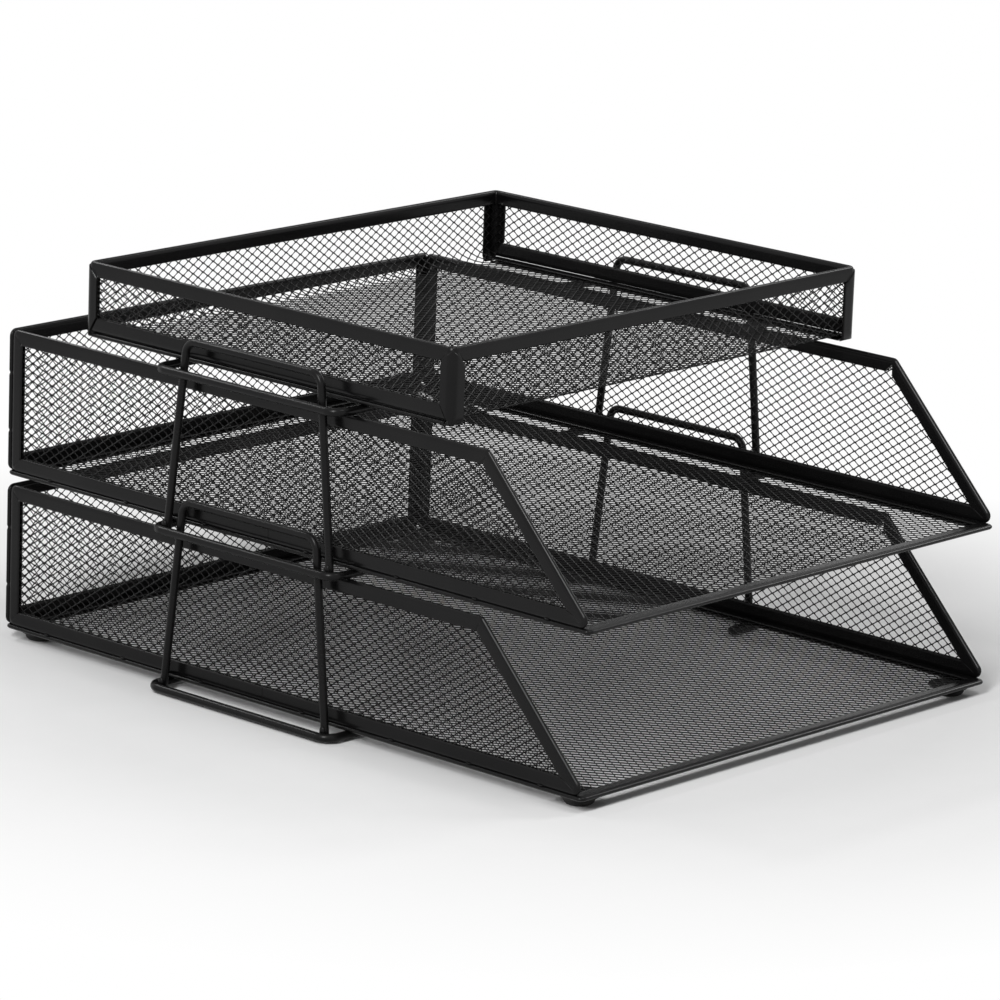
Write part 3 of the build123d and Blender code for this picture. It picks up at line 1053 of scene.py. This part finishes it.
def studioFloor():
    reach = studio["floorReach"]
    corners = rectangle(-reach, -reach, reach, reach)
    mesh = bpy.data.meshes.new("studioFloor")
    mesh.from_pydata([(x, y, -studio["floorDrop"]) for x, y in corners], [], [(0, 1, 2, 3)])
    floor = bpy.data.objects.new("studioFloor", mesh)
    bpy.context.scene.collection.objects.link(floor)
    finish = Finish(bpy.data.materials.new("floorPaint"))
    spot = finish.node("ShaderNodeVectorMath", {"operation": "LENGTH"}, {0: finish.place()}, give="Value")
    clear = finish.ramp(spot, studio["clearNear"], studio["clearFar"])
    fleck = finish.noise(studio["fleckScale"], studio["fleckDetail"])
    speckle = finish.tint(fleck, studio["floorColour"], studio["floorFleck"])
    matt = finish.node("ShaderNodeBsdfDiffuse", None, {"Color": speckle})
    glow = {"Color": studio["white"], "Strength": studio["strength"]}
    white = finish.node("ShaderNodeEmission", None, glow)
    share = finish.node("ShaderNodeMath", {"operation": "MINIMUM"}, {0: clear * backdropRays(finish), 1: 1.0})
    both = finish.node("ShaderNodeMixShader", None, {0: share, 1: matt, 2: white})
    finish.node("ShaderNodeOutputMaterial", None, {"Surface": both})
    mesh.materials.append(finish.holder)


def studioSky():
    world = bpy.data.worlds.new("studioSky")
    bpy.context.scene.world = world
    finish = Finish(world)
    colour = finish.tint(backdropRays(finish), studio["skyFill"], studio["white"])
    sky = finish.node("ShaderNodeBackground", None, {"Color": colour, "Strength": studio["strength"]})
    finish.node("ShaderNodeOutputWorld", None, {"Surface": sky})


lamps = {
    "left": {"at": (-1.37, -0.44, 1.15), "size": (0.32, 0.93), "power": 21.0},
    "back": {"at": (-0.17, 1.24, 1.21), "size": (0.70, 0.15), "power": 5.1},
    "right": {"at": (1.50, -0.52, 1.18), "size": (0.36, 0.50), "power": 5.1},
    "top": {"at": (0.05, -0.72, 1.62), "size": (0.60, 0.34), "power": 4.2},
}


def studioLamps():
    for name, values in lamps.items():
        light = bpy.data.lights.new(f"{name}Lamp", "AREA")
        light.shape = "RECTANGLE"
        light.size, light.size_y = values["size"]
        light.energy = values["power"]
        lamp = bpy.data.objects.new(f"{name}Lamp", light)
        lamp.location = values["at"]
        toStack = Vector(studio["lampAim"]) - lamp.location
        lamp.rotation_euler = toStack.to_track_quat("-Z", "Y").to_euler()
        bpy.context.scene.collection.objects.link(lamp)


view = {
    "azimuth": -47.97,  # degrees, from straight in front towards the left
    "elevation": 14.28,
    "roll": 2.125,
    "lens": 202.19,
    "sensor": 36.0,
    "clipEnd": 50.0,
    "aim": (-1.6 * mm, -2.8 * mm, 72.9 * mm),
    "distance": 2342.9 * mm,
}


def photoCamera():
    data = bpy.data.cameras.new("photoCamera")
    data.lens, data.sensor_width, data.clip_end = view["lens"], view["sensor"], view["clipEnd"]
    camera = bpy.data.objects.new("photoCamera", data)
    turn, rise = math.radians(view["azimuth"]), math.radians(view["elevation"])
    forward = Vector((-math.sin(turn) * math.cos(rise), math.cos(turn) * math.cos(rise), -math.sin(rise)))
    level = forward.cross(Vector((0, 0, 1))).normalized()
    upright = level.cross(forward)
    roll = math.radians(view["roll"])
    right = level * math.cos(roll) + upright * math.sin(roll)
    up = right.cross(forward)
    place = Matrix((right, up, -forward)).transposed().to_4x4()
    place.translation = Vector(view["aim"]) - forward * view["distance"]
    camera.matrix_world = place
    bpy.context.scene.collection.objects.link(camera)
    bpy.context.scene.camera = camera


studioFloor()
studioSky()
studioLamps()
photoCamera()
bpy.context.scene.view_settings.view_transform = "Standard"
print("studio made")
